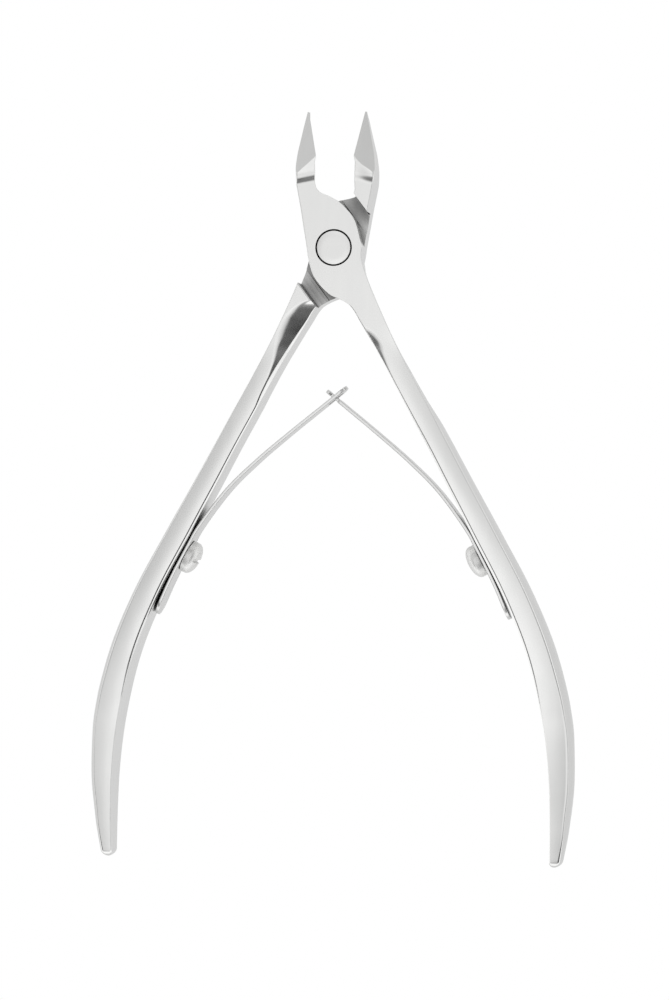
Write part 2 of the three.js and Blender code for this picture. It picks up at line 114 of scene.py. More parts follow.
SCREW_Y = -44.6
SCREW_HEAD_R = 2.4
SCREW_HEAD_H = 2.0
SCREW_HEAD_RIM = 0.8     # height of the head below its dome
SCREW_DOME_POWER = 0.9
SCREW_SHANK_R = 0.95
SCREW_SHANK_L = 3.0
SLOT_WIDTH = 0.6
SLOT_DEPTH = 0.6
LEAF_THICKNESS = 0.5
LEAF_ROOT_WIDTH = 4.4
LEAF_TIP_WIDTH = 2.7
SEAT_GAP = 0.28
SEAT_BULGE = 0.25        # the handle's inner side swells towards the middle of the leaf
SEAT_RISE = 0.14         # and comes closer to the leaf above the screw
SEAT_LOW = (-54.5, -52.5)
SEAT_HIGH = (-38.5, -35.5)
RISE_LOW = (-51, -41)
RISE_HIGH = (-35, -27)
SCREW_CLEARANCE = 0.03   # leaf to screw head
BORE_PLAY = 0.05
LEAF_EDGE = 0.12         # rounding of the leaf's long edges
LEAF_ROUND_END = 1.4     # length of a leaf's finely divided round end
TONGUE_SHOULDER = 0.75   # shoulder of the tongue before the crossing
TONGUE_FILLET = 0.3
TONGUE_HEAD_START = 0.55
TONGUE_TIP = 0.12        # half width of the tongue's very end
TONGUE_WIDTH = 0.9
TONGUE_HEAD_WIDTH = 1.9
LINK_SLOT_WIDTH = 1.3
LINK_SLOT_LENGTH = 2.6

# Outlines of the front lever in plan, [y, x]: the side of the cutting edge and the handle's
# outer side, then the other side.
OUTSIDE = [
    [-89.3, 33.8], [-83.6, 34.7], [-77, 35.2], [-70.4, 35], [-66, 34.4], [-61.7, 33.4],
    [-57.3, 32.05], [-50, 28.95], [-41.25, 24.25], [-32.5, 19.35], [-25.2, 15.35],
    [-19.3, 12.1], [-13.5, 9.05], [-10, 7.4], [-7, 6.05], [-4.2, 4.9], [-2.6, 4.36],
    [-1.2, 4.08], [0, 4.12], [1.2, 3.8], [3, 3.35], [4.5, 2.75], [5.7, 1.78], [6.7, 0.65],
    [7.5, -0.8], [8.1, -2.15], [8.9, -2.72], [10.5, -2.9], [12.4, -2.94],
]
# The rear lever differs where its joint half meets the jaw.
OUTSIDE_REAR = OUTSIDE[:24] + [[7.2, -0.7], [7.45, -1.9], [7.75, -2.75], [8.4, -2.98],
                               [10.5, -2.9], [12.4, -2.94]]
INSIDE = [
    [-89.3, 32.1], [-83.6, 32.2], [-79.2, 32.15], [-74.8, 31.9], [-70.4, 31.4], [-66, 30.6],
    [-61.7, 29.6], [-57.3, 28.2], [-50, 25.1], [-41.25, 20.65], [-32.5, 16.05], [-24.9, 11.9],
    [-16.7, 7.5], [-12.6, 5.1], [-10.3, 3.72], [-9.3, 3.15], [-8.3, 2.35], [-7.6, 1.2],
    [-7, -0.2], [-6.4, -1.1], [-5.5, -2], [-4.3, -2.85], [-3, -3.36], [-1.2, -3.8],
    [0.5, -4.05], [3, -4.48], [6.3, -5.04], [8.1, -5.4], [9.9, -5.72], [11.4, -5.8],
    [13.3, -5.66], [16, -5.16], [18, -4.76], [20.1, -4.3],
]
BACK = [[-89.3, 1.3], [-84, 0.7], [-76, 0.2], [-68, 0], [7.5, 0], [10, 0.1], [12, 0.45],
        [14, 1], [16, 1.75], [18, 2.7], [20.1, 4]]
FRONT = [[-89.3, THICKNESS - 1.3], [-84, THICKNESS - 0.7], [-76, THICKNESS - 0.2],
         [-68, THICKNESS], [20.1, THICKNESS]]
# Setback of the rounding along the outer edges, and of the chamfer along the inner ones of
# the front lever and of the rear one.
OUTER_SETBACK = [[-89.3, 0.3], [-84, 0.08], [-72, 0.07], [-60, 0.16], [-28, 0.16],
                 [-18, 0.1], [8, 0.12], [11, 0.3], [15, 0.45], [20.1, 0.12]]
INNER_FRONT = [[-89.3, 0.3], [-82, 0.16], [-74, 0.14], [-66, 0.26], [-57, 0.42], [-45, 0.5],
               [-30, 0.42], [-24, 0.32], [-20, 0.22], [-13, 0.16], [-9, 0.14], [0, 0.1],
               [12.4, 0.08], [13.5, 0.015], [20.1, 0.015]]
INNER_REAR = [[-89.3, 0.3], [-82, 0.16], [-74, 0.14], [-66, 0.26], [-57, 0.42], [-45, 0.46],
              [-30, 0.36], [-23.5, 0.34], [-21.5, 0.58], [-19, 0.7], [-14.5, 0.58], [-12.3, 0.45],
              [-10.2, 0.26], [-8.5, 0.16], [0, 0.1], [12.4, 0.08], [13.5, 0.015], [20.1, 0.015]]
INNER_ROUNDNESS = [[-89.3, 0.6], [-76, 0.4], [-60, 0.4], [-50, 0.45], [-24, 0.45],
                   [-20, 0.2], [-10, 0.2], [0, 0.5], [20.1, 0.5]]
# Crown of the handle's outer side and of its front face towards the outer edge. The outline's
# own crown is what lies outside of the outer points.
OUTLINE_CROWN = [[-89.3, 0.1], [-70, 0.45], [-25, 0.35], [-9, 0], [20.1, 0]]
SIDE_CROWN = [[-89.3, 0.4], [-80, 0.95], [-60, 1.0], [-50, 0.85], [-35, 0.6], [-22, 0.35],
              [-9, 0], [20.1, 0]]
CROWN_FRONT = [[-89.3, 0.03], [-84, 0.05], [-76, 0.08], [-66, 0.16], [-50, 0.13], [-36, 0.19],
               [-30, 0.22], [-18, 0.16], [-11, 0], [20.1, 0]]
CROWN_REAR = [[-89.3, 0.03], [-84, 0.06], [-76, 0.11], [-66, 0.165], [-50, 0.2], [-30, 0.18],
              [-18, 0.11], [-11, 0], [20.1, 0]]
# Slope of the front lever's handle face towards its outer edge.
FACE_SLOPE = [[-89.3, 0.08], [-84, 0.1], [-79, 0.125], [-74, 0.12], [-67, 0.04], [-58, 0],
              [20.1, 0]]
# The hollow ground next to the inner edge below the joint: its share of the face, its tilt
# in degrees, and the length over which it starts.
HOLLOW_SHARE_FRONT = [[-89.3, 0.1], [-26, 0.06], [-22, 0.08], [-18, 0.13], [-15.2, 0.3],
                      [-13.8, 0.46], [-12.6, 0.42], [-11.4, 0.15], [20.1, 0.1]]
HOLLOW_TILT_FRONT = [[-89.3, 0], [-28, 0], [-22, 12], [-17.5, 17], [-15, 20], [-13.5, 20],
                     [-12.5, 15], [-11.6, 6], [-11, 0], [20.1, 0]]
HOLLOW_SHARE_REAR = [[-89.3, 0.1], [-26, 0.08], [-22, 0.16], [-17.3, 0.38], [-13.8, 0.8],
                     [-12, 0.96], [-10.7, 0.98], [-9.3, 0.86], [-8.1, 0.63], [-7.4, 0.37],
                     [-6.5, 0.1], [20.1, 0.1]]
HOLLOW_TILT_REAR = [[-89.3, 0], [-27, 0], [-22, 16], [-19, 21], [-16, 23], [-13, 23],
                    [-11.2, 21], [-10, 20], [-8.1, 20], [-7.4, 16], [-6.5, 5], [-5.5, 0], [20.1, 0]]
HOLLOW_START = [[-89.3, 0.2], [-18, 0.25], [-15, 0.6], [-12, 1.4], [-9.5, 1.4], [-8, 1.0],
                [20.1, 1.0]]
# How far the jaw's inner side leans, as a share of RELIEF. On the front lever the handle's
# outer side leans too.
RELIEF_FRONT = [[-89.3, 0], [-30, 0], [-18, 0.3], [-10, 0.6], [-5, 0.6], [-1.5, 0.1], [3.5, 0],
                [6.5, 0.4], [8.6, 0.5], [11.5, 1], [20.1, 1]]
RELIEF_REAR = [[-89.3, 0], [8.6, 0], [11.5, 1], [20.1, 1]]

LEAF_TAIL = [[26, -53.6], [24.3, -49.6]]
LEAF_ARM = [[20.05, -41.3], [15.6, -35.3], [11.25, -31], [6.45, -26.9], [1.25, -22.68],
            [0, -21.66], [-1.8, -20.15]]

# Where each section of a lever lies: start, end and step along Y, above the handle's round end.
STRETCHES = [(-60, -26, 0.6), (-26, -9, 0.3), (-9, 9.4, 0.15), (9.4, 14, 0.12), (14, TIP_Y, 0.25)]
LOW_STEP = 0.5
SIDE_COUNTS = (40, 18, 30, 12)   # points along the four sides of a section

# Brightness of the sky by its direction's X and Y, each from -1 to 1.
SKY_ACROSS = [(-1, 0.7), (-0.9, 0.4), (-0.76, 0.4), (-0.66, 0.84), (-0.42, 0.88), (-0.31, 0.92),
              (-0.22, 1.16), (-0.085, 1.24), (0.1, 1.06), (0.29, 0.86), (0.42, 0.78),
              (0.56, 0.68), (0.72, 0.7), (1, 0.85)]
SKY_ALONG = [(-1, 0.9), (-0.4, 0.78), (-0.25, 0.83), (-0.12, 0.91), (-0.04, 1.0), (0.02, 0.95),
             (0.08, 0.71), (0.2, 0.84), (0.48, 0.88), (0.55, 0.7), (0.64, 0.3), (0.72, 0.12),
             (0.86, 0.1), (1, 0.6)]
# Dark gaps beside the soft box: direction in degrees, sharpness, depth, and the angles from
# straight up between which the gap comes in.
SKY_GAPS = [(-30, 2.4, 0.93, (22, 32)), (-150, 7, 0.85, (30, 39))]
WALL_FROM_UP = (58, 70)
WALL_LEVEL = 1.22


# ------------------------------------------------------------------ camera
def make_camera():
    """Looks down on the front face from a little to the right, a hand's length above it."""
    azimuth = math.radians(8.47)
    elevation = math.radians(0.334)
    roll = math.radians(0.66)
    distance = 478.9
    target = Vector((0.08, -36.61, MID))
    away = Vector((math.sin(azimuth) * math.cos(elevation), -math.sin(elevation),
                   math.cos(azimuth) * math.cos(elevation)))
    right = Vector((0, 1, 0)).cross(away).normalized()
    up = away.cross(right)
    turned_right = right * math.cos(roll) + up * math.sin(roll)
    turned_up = up * math.cos(roll) - right * math.sin(roll)
    data = bpy.data.cameras.new("camera")
    data.sensor_width = 36
    data.lens = 118.1
    data.clip_start = 0.01
    camera = bpy.data.objects.new("camera", data)
    basis = Matrix((turned_right, turned_up, away)).transposed().to_4x4()
    camera.matrix_world = Matrix.Translation((target + away * distance) * MM) @ basis
    bpy.context.scene.collection.objects.link(camera)
    bpy.context.scene.camera = camera


# ------------------------------------------------------------------ curves and meshes
def smooth_curve(points):
    """A smooth function through the points that never overshoots them."""
    slopes = [(b[1] - a[1]) / (b[0] - a[0]) for a, b in zip(points, points[1:])]
    tangents = [slopes[0]]
    for before, after in zip(slopes, slopes[1:]):
        product = before * after
        tangents.append(0 if product <= 0 else 2 * product / (before + after))
    tangents.append(slopes[-1])

    def value(x):
        i = 0
        while i < len(points) - 2 and x > points[i + 1][0]:
            i += 1
        h = points[i + 1][0] - points[i][0]
        t = min(max((x - points[i][0]) / h, 0), 1)
        rise = points[i][1] * (2 * t**3 - 3 * t**2 + 1) + points[i + 1][1] * (3 * t**2 - 2 * t**3)
        turn = tangents[i] * (t**3 - 2 * t**2 + t) + tangents[i + 1] * (t**3 - t**2)
        return rise + h * turn

    return value


def smoothstep(x, low, high):
    t = min(max((x - low) / (high - low), 0), 1)
    return t * t * (3 - 2 * t)


def lerp(a, b, t):
    return a + (b - a) * t


def spaced(start, end, steps):
    return [lerp(start, end, i / steps) for i in range(steps)]


outside = {False: smooth_curve(OUTSIDE), True: smooth_curve(OUTSIDE_REAR)}
inside = smooth_curve(INSIDE)
back = smooth_curve(BACK)
front = smooth_curve(FRONT)
outer_setback = smooth_curve(OUTER_SETBACK)
inner_setback = {False: smooth_curve(INNER_FRONT), True: smooth_curve(INNER_REAR)}
inner_roundness = smooth_curve(INNER_ROUNDNESS)
outline_crown = smooth_curve(OUTLINE_CROWN)
side_crown = smooth_curve(SIDE_CROWN)
face_crown = {False: smooth_curve(CROWN_FRONT), True: smooth_curve(CROWN_REAR)}
hollow_share = {False: smooth_curve(HOLLOW_SHARE_FRONT), True: smooth_curve(HOLLOW_SHARE_REAR)}
hollow_tilt = {False: smooth_curve(HOLLOW_TILT_FRONT), True: smooth_curve(HOLLOW_TILT_REAR)}
hollow_start = smooth_curve(HOLLOW_START)
face_slope = smooth_curve(FACE_SLOPE)
relief = {False: smooth_curve(RELIEF_FRONT), True: smooth_curve(RELIEF_REAR)}


def new_object(name, points, faces, mirror=False):
    """A mesh object from points in millimetres. A mirrored one is on the rear lever's side."""
    points = np.asarray(points, float) * MM
    if mirror:
        points[:, 0] *= -1
        faces = [tuple(reversed(f)) for f in faces]
    mesh = bpy.data.meshes.new(name)
    mesh.from_pydata([tuple(p) for p in points], [], faces)
    mesh.validate()
    obj = bpy.data.objects.new(name, mesh)
    bpy.context.scene.collection.objects.link(obj)
    return obj


def loft(rings):
    """Points and faces of a closed body through rings with equal counts."""
    count = len(rings[0])
    points = [p for ring in rings for p in ring]
    faces = []
    for r in range(len(rings) - 1):
        for k in range(count):
            a = r * count + k
            b = r * count + (k + 1) % count
            faces.append((a, b, b + count, a + count))
    faces.append(tuple(reversed(range(count))))
    faces.append(tuple(range((len(rings) - 1) * count, len(rings) * count)))
    return points, faces


def turned(profile, origin, axis, sides=96):
    """A body of revolution of a profile (radius, height) that starts and ends on the axis."""
    axis = Vector(axis).normalized()
    across = axis.orthogonal().normalized()
    other = axis.cross(across)
    inner = profile[1:-1]
    points = [Vector(origin) + axis * profile[0][1], Vector(origin) + axis * profile[-1][1]]
    for i in range(sides):
        angle = 2 * math.pi * i / sides
        spoke = across * math.cos(angle) + other * math.sin(angle)
        points.extend(Vector(origin) + spoke * radius + axis * height for radius, height in inner)
    count = len(inner)
    faces = []
    for i in range(sides):
        a = 2 + i * count
        b = 2 + ((i + 1) % sides) * count
        faces.append((0, b, a))
        faces.append((1, a + count - 1, b + count - 1))
        for k in range(count - 1):
            faces.append((a + k, b + k, b + k + 1, a + k + 1))
    return points, faces


def box(size, centre, x_axis, y_axis):
    """A box of a size, centred at a point and turned to two directions."""
    x_axis = Vector(x_axis).normalized()
    y_axis = Vector(y_axis).normalized()
    z_axis = x_axis.cross(y_axis)
    points = []
    for i in (-0.5, 0.5):
        for j in (-0.5, 0.5):
            for k in (-0.5, 0.5):
                corner = x_axis * size[0] * i + y_axis * size[1] * j + z_axis * size[2] * k
                points.append(Vector(centre) + corner)
    faces = [(0, 1, 3, 2), (4, 6, 7, 5), (0, 4, 5, 1), (2, 3, 7, 6), (0, 2, 6, 4), (1, 5, 7, 3)]
    return points, faces


def prism(outline, u_axis, v_axis, length):
    """An outline of (u, v) points, extruded to both sides of its plane."""
    w_axis = Vector(u_axis).cross(Vector(v_axis))
    count = len(outline)
    points = []
    for side in (-0.5, 0.5):
        for u, v in outline:
            points.append(Vector(u_axis) * u + Vector(v_axis) * v + w_axis * length * side)
    faces = [(k, (k + 1) % count, (k + 1) % count + count, k + count) for k in range(count)]
    faces.append(tuple(reversed(range(count))))
    faces.append(tuple(range(count, 2 * count)))
    return points, faces


def outward(obj):
    """Turns all faces to point out."""
    work = bmesh.new()
    work.from_mesh(obj.data)
    bmesh.ops.recalc_face_normals(work, faces=work.faces)
    work.to_mesh(obj.data)
    work.free()
    return obj


def cut(obj, *cutters):
    """Cuts the bodies out of obj and removes them."""
    for cutter in cutters:
        outward(cutter)
        modifier = obj.modifiers.new("cut", "BOOLEAN")
        modifier.operation = "DIFFERENCE"
        modifier.solver = "MANIFOLD"
        modifier.object = cutter
    bpy.context.view_layer.update()
    evaluated = obj.evaluated_get(bpy.context.evaluated_depsgraph_get())
    mesh = bpy.data.meshes.new_from_object(evaluated)
    obj.modifiers.clear()
    obj.data = mesh
    for cutter in cutters:
        bpy.data.objects.remove(cutter)
    return obj


def shade(obj, angle=28):
    """Smooth shading with crisp edges where the surface turns sharply."""
    mesh = obj.data
    mesh.polygons.foreach_set("use_smooth", [True] * len(mesh.polygons))
    mesh.set_sharp_from_angle(angle=math.radians(angle))
    weighted = obj.modifiers.new("flat_faces", "WEIGHTED_NORMAL")
    weighted.keep_sharp = True
    weighted.weight = 60
    return obj


# ------------------------------------------------------------------ levers
def edge_z(y):
    return lerp(EDGE_HEEL_Z, EDGE_TIP_Z, (y - EDGE_END_Y) / (TIP_Y - EDGE_END_Y))


def cutting_side(y):
    edge = -y * math.tan(EDGE_ANGLE) - EDGE_CLEARANCE
    return edge + (THICKNESS - edge_z(y)) * RELIEF


def soft_ramp(x, low, high, soft):
    """Straight ramp from 0 to 1 with rounded ends."""
    t = min(max((x - low) / (high - low), 0), 1)
    slope = 1 / (1 - soft)
    if t < soft:
        return slope * t * t / (2 * soft)
    if t > 1 - soft:
        return 1 - slope * (1 - t) ** 2 / (2 * soft)
    return slope * (t - soft / 2)


def step_place(x, y):
    """Height along the jaw, counted square to the slanted step."""
    return y - STEP_SLANT * (x - STEP_MIDDLE_X)


def jaw_front(x, y, rear):
    """How far the jaw's front lies behind the plate: it steps down along a slanted band, then
    rises a little towards the heel of the cutting edge. The rear jaw's step fades inwards."""
    along = step_place(x, y)
    low = SHOULDER_STEP
    if rear:
        along -= REAR_STEP_SHIFT
        outer_x, outer_share = REAR_STEP_OUTER
        inner_x, inner_share = REAR_STEP_INNER
        low *= lerp(outer_share, inner_share, smoothstep(x, outer_x, inner_x))
    drop = low * soft_ramp(along, STEP_START, STEP_END, STEP_SOFTNESS)
    return drop - (low - HEEL_DROP) * smoothstep(along, STEP_END, STEP_RISE_END)


def corner_points(x, z, u, v, setback, roundness, steps=4):
    """One corner of a section: two short arcs with a chamfer between them."""
    radius = setback * roundness
    u = np.array(u, float)
    v = np.array(v, float)
    at = np.array([x, z])
    first = at - u * setback + v * radius
    second = at + v * setback - u * radius
    angles = [math.radians(45) * i / steps for i in range(steps + 1)]
    points = [first - v * radius * math.cos(a) + u * radius * math.sin(a) for a in angles]
    points += [second + u * radius * math.cos(a) - v * radius * math.sin(a)
               for a in reversed(angles)]
    return points


def ground_corner(x, z, setback, tilt):
    """The inner front corner of a handle: a narrow facet, then a wider and steeper one."""
    narrow = min(NARROW_FACET, setback * NARROW_SHARE)
    first_drop = narrow * math.tan(math.radians(tilt))
    last_drop = first_drop + (setback - narrow) * math.tan(math.radians(WIDE_TILT))
    points = [np.array([x, z - last_drop])]
    for k in range(1, 4):
        share = k / 4
        points.append(np.array([lerp(x, x + setback - narrow, share),
                                z - lerp(last_drop, first_drop, share)]))
    points.append(np.array([x + setback - narrow, z - first_drop]))
    for k in range(1, 5):
        share = k / 5
        points.append(np.array([lerp(x + setback - narrow, x + setback, share),
                                z - lerp(first_drop, 0, share)]))
    points.append(np.array([x + setback, z]))
    return points


def lever_ring(y, rear):
    """Section of the front lever at height y, clockwise from front left."""
    blend = smoothstep(y, EDGE_END_Y - HEEL_EASE, EDGE_END_Y)
    rise = SEAT_RISE * smoothstep(y, *RISE_LOW) * (1 - smoothstep(y, *RISE_HIGH))
    left = inside(y) - rise
    crest = side_crown(y)
    right = outside[rear](y) + outline_crown(y) - crest
    right = lerp(right, cutting_side(y), blend)
    low = back(y)
    high = front(y)
    outer = outer_setback(y)
    inner = inner_setback[rear](y)
    end_centre = HANDLE_END_Y + HANDLE_END_RADIUS
    shrink = 1
    if y < end_centre:
        drop = (end_centre - y) / HANDLE_END_RADIUS
        shrink = math.sqrt(max(1 - drop * drop, SMALLEST_END))
        middle = (left + right) / 2
        left = lerp(middle, left, shrink)
        right = lerp(middle, right, shrink)
        flat = lerp(END_FLATNESS, 1, shrink)
        low = lerp(MID, low, flat)
        high = lerp(MID, high, flat)
    is_jaw = y > 0
    lean = (high - low) * RELIEF * relief[rear](y)
    limit = min(right - left, high - low) * CORNER_LIMIT
    outer = min(outer, limit)
    inner = min(inner, limit)
    round_inner = inner_roundness(y)
    left_corner = (outer, 1) if is_jaw else (inner, round_inner)
    right_corner = (inner, round_inner) if is_jaw else (outer, 1)
    crown = face_crown[rear](y) * shrink
    share = hollow_share[rear](y)
    start = hollow_start(y)
    slope = math.tan(math.radians(hollow_tilt[rear](y))) * shrink

    outward_slope = 0 if rear else face_slope(y) * shrink

    def back_drop(x):
        s = min(max((x - left) / (right - left), 0), 1)
        return crown * max((s - CROWN_START) / (1 - CROWN_START), 0) ** 2

    def face_drop(x):
        inward = max(left + share * (right - left) - x, 0)
        hollow = inward - start / 2 if inward > start else inward * inward / (2 * start)
        return slope * hollow + back_drop(x) + outward_slope * max(x - left, 0)

    belly = 1 + BELLY_ROUNDING * smoothstep(y, 8, 12)
    corners = [
        (left, high - face_drop(left), (0, 1), (1, 0), *left_corner),
        (right, high - face_drop(right), (1, 0), (0, -1), *right_corner),
        (right - lean, low + back_drop(right), (0, -1), (-1, 0), *right_corner),
        (left, low + back_drop(left), (-1, 0), (0, 1), left_corner[0] * belly, left_corner[1]),
    ]
    ring = []
    for i, (x0, z0, u, v, setback, roundness) in enumerate(corners):
        drop_at = face_drop if i < 2 else back_drop
        sign = -1 if i < 2 else 1
        if i == 0 and y < GROUND_CORNER_Y:
            tilt = lerp(*NARROW_TILTS, smoothstep(y, *NARROW_TILT_Y))
            ring += ground_corner(x0, high - face_drop(x0 + setback), setback, tilt)
        else:
            for x, z in corner_points(x0, z0, u, v, setback, roundness):
                ring.append((x, z + sign * (drop_at(x) - drop_at(x0))))
        x2, z2, u2, _, setback2, _ = corners[(i + 1) % 4]
        side_start = np.array([x0, z0]) + np.array(v) * setback
        end = np.array([x2, z2]) - np.array(u2) * setback2
        for k in range(1, SIDE_COUNTS[i]):
            x, z = lerp(side_start, end, k / SIDE_COUNTS[i])
            if i in (0, 2):
                z = high - face_drop(x) if i == 0 else low + back_drop(x)
            ring.append((x, z))
    bulge = SEAT_BULGE * smoothstep(y, *SEAT_LOW) * (1 - smoothstep(y, *SEAT_HIGH))
    bulge = max(bulge - rise, 0)
    for k, (x, z) in enumerate(ring):
        if bulge > 0 and x < left + 0.01:
            level = 2 * (z - low) / (high - low) - 1
            ring[k] = (x - bulge * max(1 - level * level, 0), z)
    outer_side = lerp(left, right, 0.6)
    for k, (x, z) in enumerate(ring):
        if crest > 0 and x > outer_side:
            weight = smoothstep(x, right - right_corner[0] - 0.02, right - 0.3 * right_corner[0])
            level = 2 * (z - low) / (high - low) - 1
            ring[k] = (x + crest * shrink * weight * max(1 - level * level, 0), z)
    result = []
    for x, z in ring:
        if is_jaw and z > MID:
            z -= jaw_front(x, y, rear)
        result.append((x, y, z))
    return result


def lever_stations():
    end_centre = HANDLE_END_Y + HANDLE_END_RADIUS
    heights = []
    for i in range(14):
        angle = math.radians(88.8 - 88.8 * i / 14)
        heights.append(end_centre - HANDLE_END_RADIUS * math.sin(angle))
    for start, end, step in [(end_centre, STRETCHES[0][0], LOW_STEP), *STRETCHES]:
        heights += spaced(start, end, math.ceil((end - start) / step))
    return heights + [TIP_Y]


def lap_outline():
    """Outline of what is milled away behind the plate: floor, walls and their troughs."""
    floor = MID + LAP_GAP

    def trough(wall, end, groove, groove_share):
        """From the wall out: a relief groove, a hollow and a small sharp step."""
        points = []
        for i in range(1, 48):
            t = i / 48
            sag = TROUGH_SAG * max(t - TROUGH_PEAK, 0) / (1 - TROUGH_PEAK)
            depth = math.sin(math.pi / 2 * min(t / TROUGH_PEAK, 1)) - sag
            if t > 1 - TROUGH_LIP:
                depth *= (1 - t) / TROUGH_LIP
            depth += groove * max(1 - t / groove_share, 0) ** 1.5
            points.append((lerp(wall, end, t), floor + TROUGH_DEPTH * depth))
        return points

    jaw_edge = JAW_WALL - JAW_TROUGH
    handle_edge = HANDLE_TROUGH - HANDLE_WALL
    return [(-HANDLE_WALL - (1 + LAP_RIM) * LAP_LEAN, -1), (JAW_WALL + 1.04, -1),
            (JAW_WALL, 0.04),
            (JAW_WALL, floor), *trough(JAW_WALL, jaw_edge, *GROOVE_JAW),
            (jaw_edge, floor), (handle_edge, floor),
            *reversed(trough(-HANDLE_WALL, handle_edge, *GROOVE_HANDLE)),
            (-HANDLE_WALL, floor), (-HANDLE_WALL, LAP_RIM)]


def lap_cutter(rear):
    across = Vector((-math.cos(WALL_ANGLE), math.sin(WALL_ANGLE), 0))
    points, faces = prism(lap_outline(), across, Vector((0, 0, 1)), 40)
    if rear:
        points = [Vector((-p.x, p.y, THICKNESS - p.z)) for p in points]
    return new_object("lap_cutter", points, faces)


def beyond_step(point, mirror):
    x = -point.x if mirror else point.x
    return step_place(x, point.y) > STEP_END + FACET_CLEAR


def grind_facet(obj, mirror):
    """Grinds the flat facet behind the cutting edge: a plane through the tip, the edge's heel
    and the outer end of the facet's base line."""
    tip = Vector((-TIP_Y * math.tan(EDGE_ANGLE), TIP_Y, EDGE_TIP_Z))
    heel = Vector((-EDGE_END_Y * math.tan(EDGE_ANGLE), EDGE_END_Y, EDGE_HEEL_Z))
    base_x = inside(FACET_BASE_Y)
    base_z = THICKNESS - jaw_front(base_x, FACET_BASE_Y, mirror)
    base = Vector((base_x, FACET_BASE_Y, base_z))
    normal = (heel - tip).cross(base - tip).normalized()
    if normal.z < 0:
        normal.negate()
    if mirror:
        tip.x *= -1
        normal.x *= -1
    work = bmesh.new()
    work.from_mesh(obj.data)
    faces = [f for f in work.faces if beyond_step(f.calc_center_median() / MM, mirror)]
    edges = {edge for face in faces for edge in face.edges}
    verts = {vert for face in faces for vert in face.verts}
    geometry = [*verts, *edges, *faces]
    below = (tip - normal * FACET_DEPTH) * MM
    result = bmesh.ops.bisect_plane(work, geom=geometry, dist=1e-8, plane_co=below,
                                    plane_no=normal, clear_outer=True)
    rim = [e for e in result["geom_cut"] if isinstance(e, bmesh.types.BMEdge)]
    bmesh.ops.holes_fill(work, edges=rim, sides=0)
    bmesh.ops.recalc_face_normals(work, faces=work.faces[:])
    work.to_mesh(obj.data)
    work.free()


def round_bar(name, radius, low, high, origin=(0, 0, 0), axis=(0, 0, 1), mirror=False):
    points, faces = turned([(0, low), (radius, low), (radius, high), (0, high)], origin, axis)
    return new_object(name, points, faces, mirror)


def screw_seat():
    """Where the spring screw enters the handle of the front lever, and its way out."""
    step = 0.5
    along = Vector((inside(SCREW_Y + step) - inside(SCREW_Y - step), 2 * step, 0))
    out = Vector((-along.y, along.x, 0)).normalized()
    return Vector((inside(SCREW_Y), SCREW_Y, MID)), out


def make_lever(name, rear):
    points, faces = loft([lever_ring(y, rear) for y in lever_stations()])
    lever = outward(new_object(name, points, faces, rear))
    grind_facet(lever, rear)
    seat, out = screw_seat()
    cutters = [
        lap_cutter(rear),
        round_bar("hole", SCREW_SHANK_R + BORE_PLAY, -SCREW_SHANK_L - 0.1, 1, seat, out, rear),
        round_bar("bore", RIVET_SHANK_R + 0.06, -1, THICKNESS + 1),
    ]
    if not rear:
        groove = RIVET_HEAD_R + 0.03
        cutters.append(round_bar("head_seat", groove, THICKNESS - RIVET_HEAD_H, THICKNESS + 1))
    cut(lever, *cutters)
    return shade(lever)


# ------------------------------------------------------------------ rivet and screws
def make_rivet():
    head_r = RIVET_HEAD_R - RIVET_GROOVE
    neck = THICKNESS - RIVET_HEAD_H + 0.06
    rim = RIVET_RIM
    top = THICKNESS - 0.01
    profile = [(0, 0), (RIVET_SHANK_R - rim, 0), (RIVET_SHANK_R, rim), (RIVET_SHANK_R, neck),
               (head_r, neck), (head_r, top - rim)]
    for i in range(1, 5):
        angle = math.radians(90 * i / 4)
        profile.append((head_r - rim * (1 - math.cos(angle)), top - rim * (1 - math.sin(angle))))
    profile += [(head_r * 0.6, top), (head_r * 0.3, top), (0, top)]
    points, faces = turned(profile, (0, 0, 0), (0, 0, 1), 128)
    return shade(outward(new_object("pivot_rivet_visual", points, faces)))


def make_screw(name, mirror, slot_across):
    """Domed screw head with a cut slot, on a plain shank."""
    seat, out = screw_seat()
    base = SEAT_GAP + LEAF_THICKNESS + SCREW_CLEARANCE
    rim = SCREW_HEAD_RIM
    profile = [(0, -SCREW_SHANK_L), (SCREW_SHANK_R, -SCREW_SHANK_L), (SCREW_SHANK_R, base),
               (SCREW_HEAD_R - 0.16, base), (SCREW_HEAD_R - 0.05, base + 0.05),
               (SCREW_HEAD_R, base + 0.16), (SCREW_HEAD_R, base + rim)]
    for i in range(1, 22):
        angle = math.radians(90 * i / 21)
        radius = SCREW_HEAD_R * math.cos(angle) ** SCREW_DOME_POWER
        height = base + rim + (SCREW_HEAD_H - rim) * math.sin(angle)
        profile.append((0 if i == 21 else radius, height))
    points, faces = turned(profile, seat, out)
    screw = outward(new_object(name, points, faces, mirror))
    centre = seat + out * (base + SCREW_HEAD_H)
    up = Vector((0, 0, 1))
    slot_side = up if slot_across else out.cross(up)
    points, faces = box((SLOT_WIDTH, 2 * SLOT_DEPTH, 4 * SCREW_HEAD_R), centre, slot_side, out)
    cut(screw, new_object("slot", points, faces, mirror))
    return shade(screw, 35)


# ------------------------------------------------------------------ leaf springs
def leaf_points():
    seat, out = screw_seat()
    along = Vector((out.y, -out.x, 0))
    centre = seat + out * (SEAT_GAP + LEAF_THICKNESS / 2)
    seated = [centre + along * (k * SCREW_HEAD_R) for k in (-1, -0.5, 0, 0.5, 1)]
    flat = [Vector((x, y, MID)) for x, y in LEAF_TAIL]
    return flat + seated + [Vector((x, y, MID)) for x, y in LEAF_ARM]


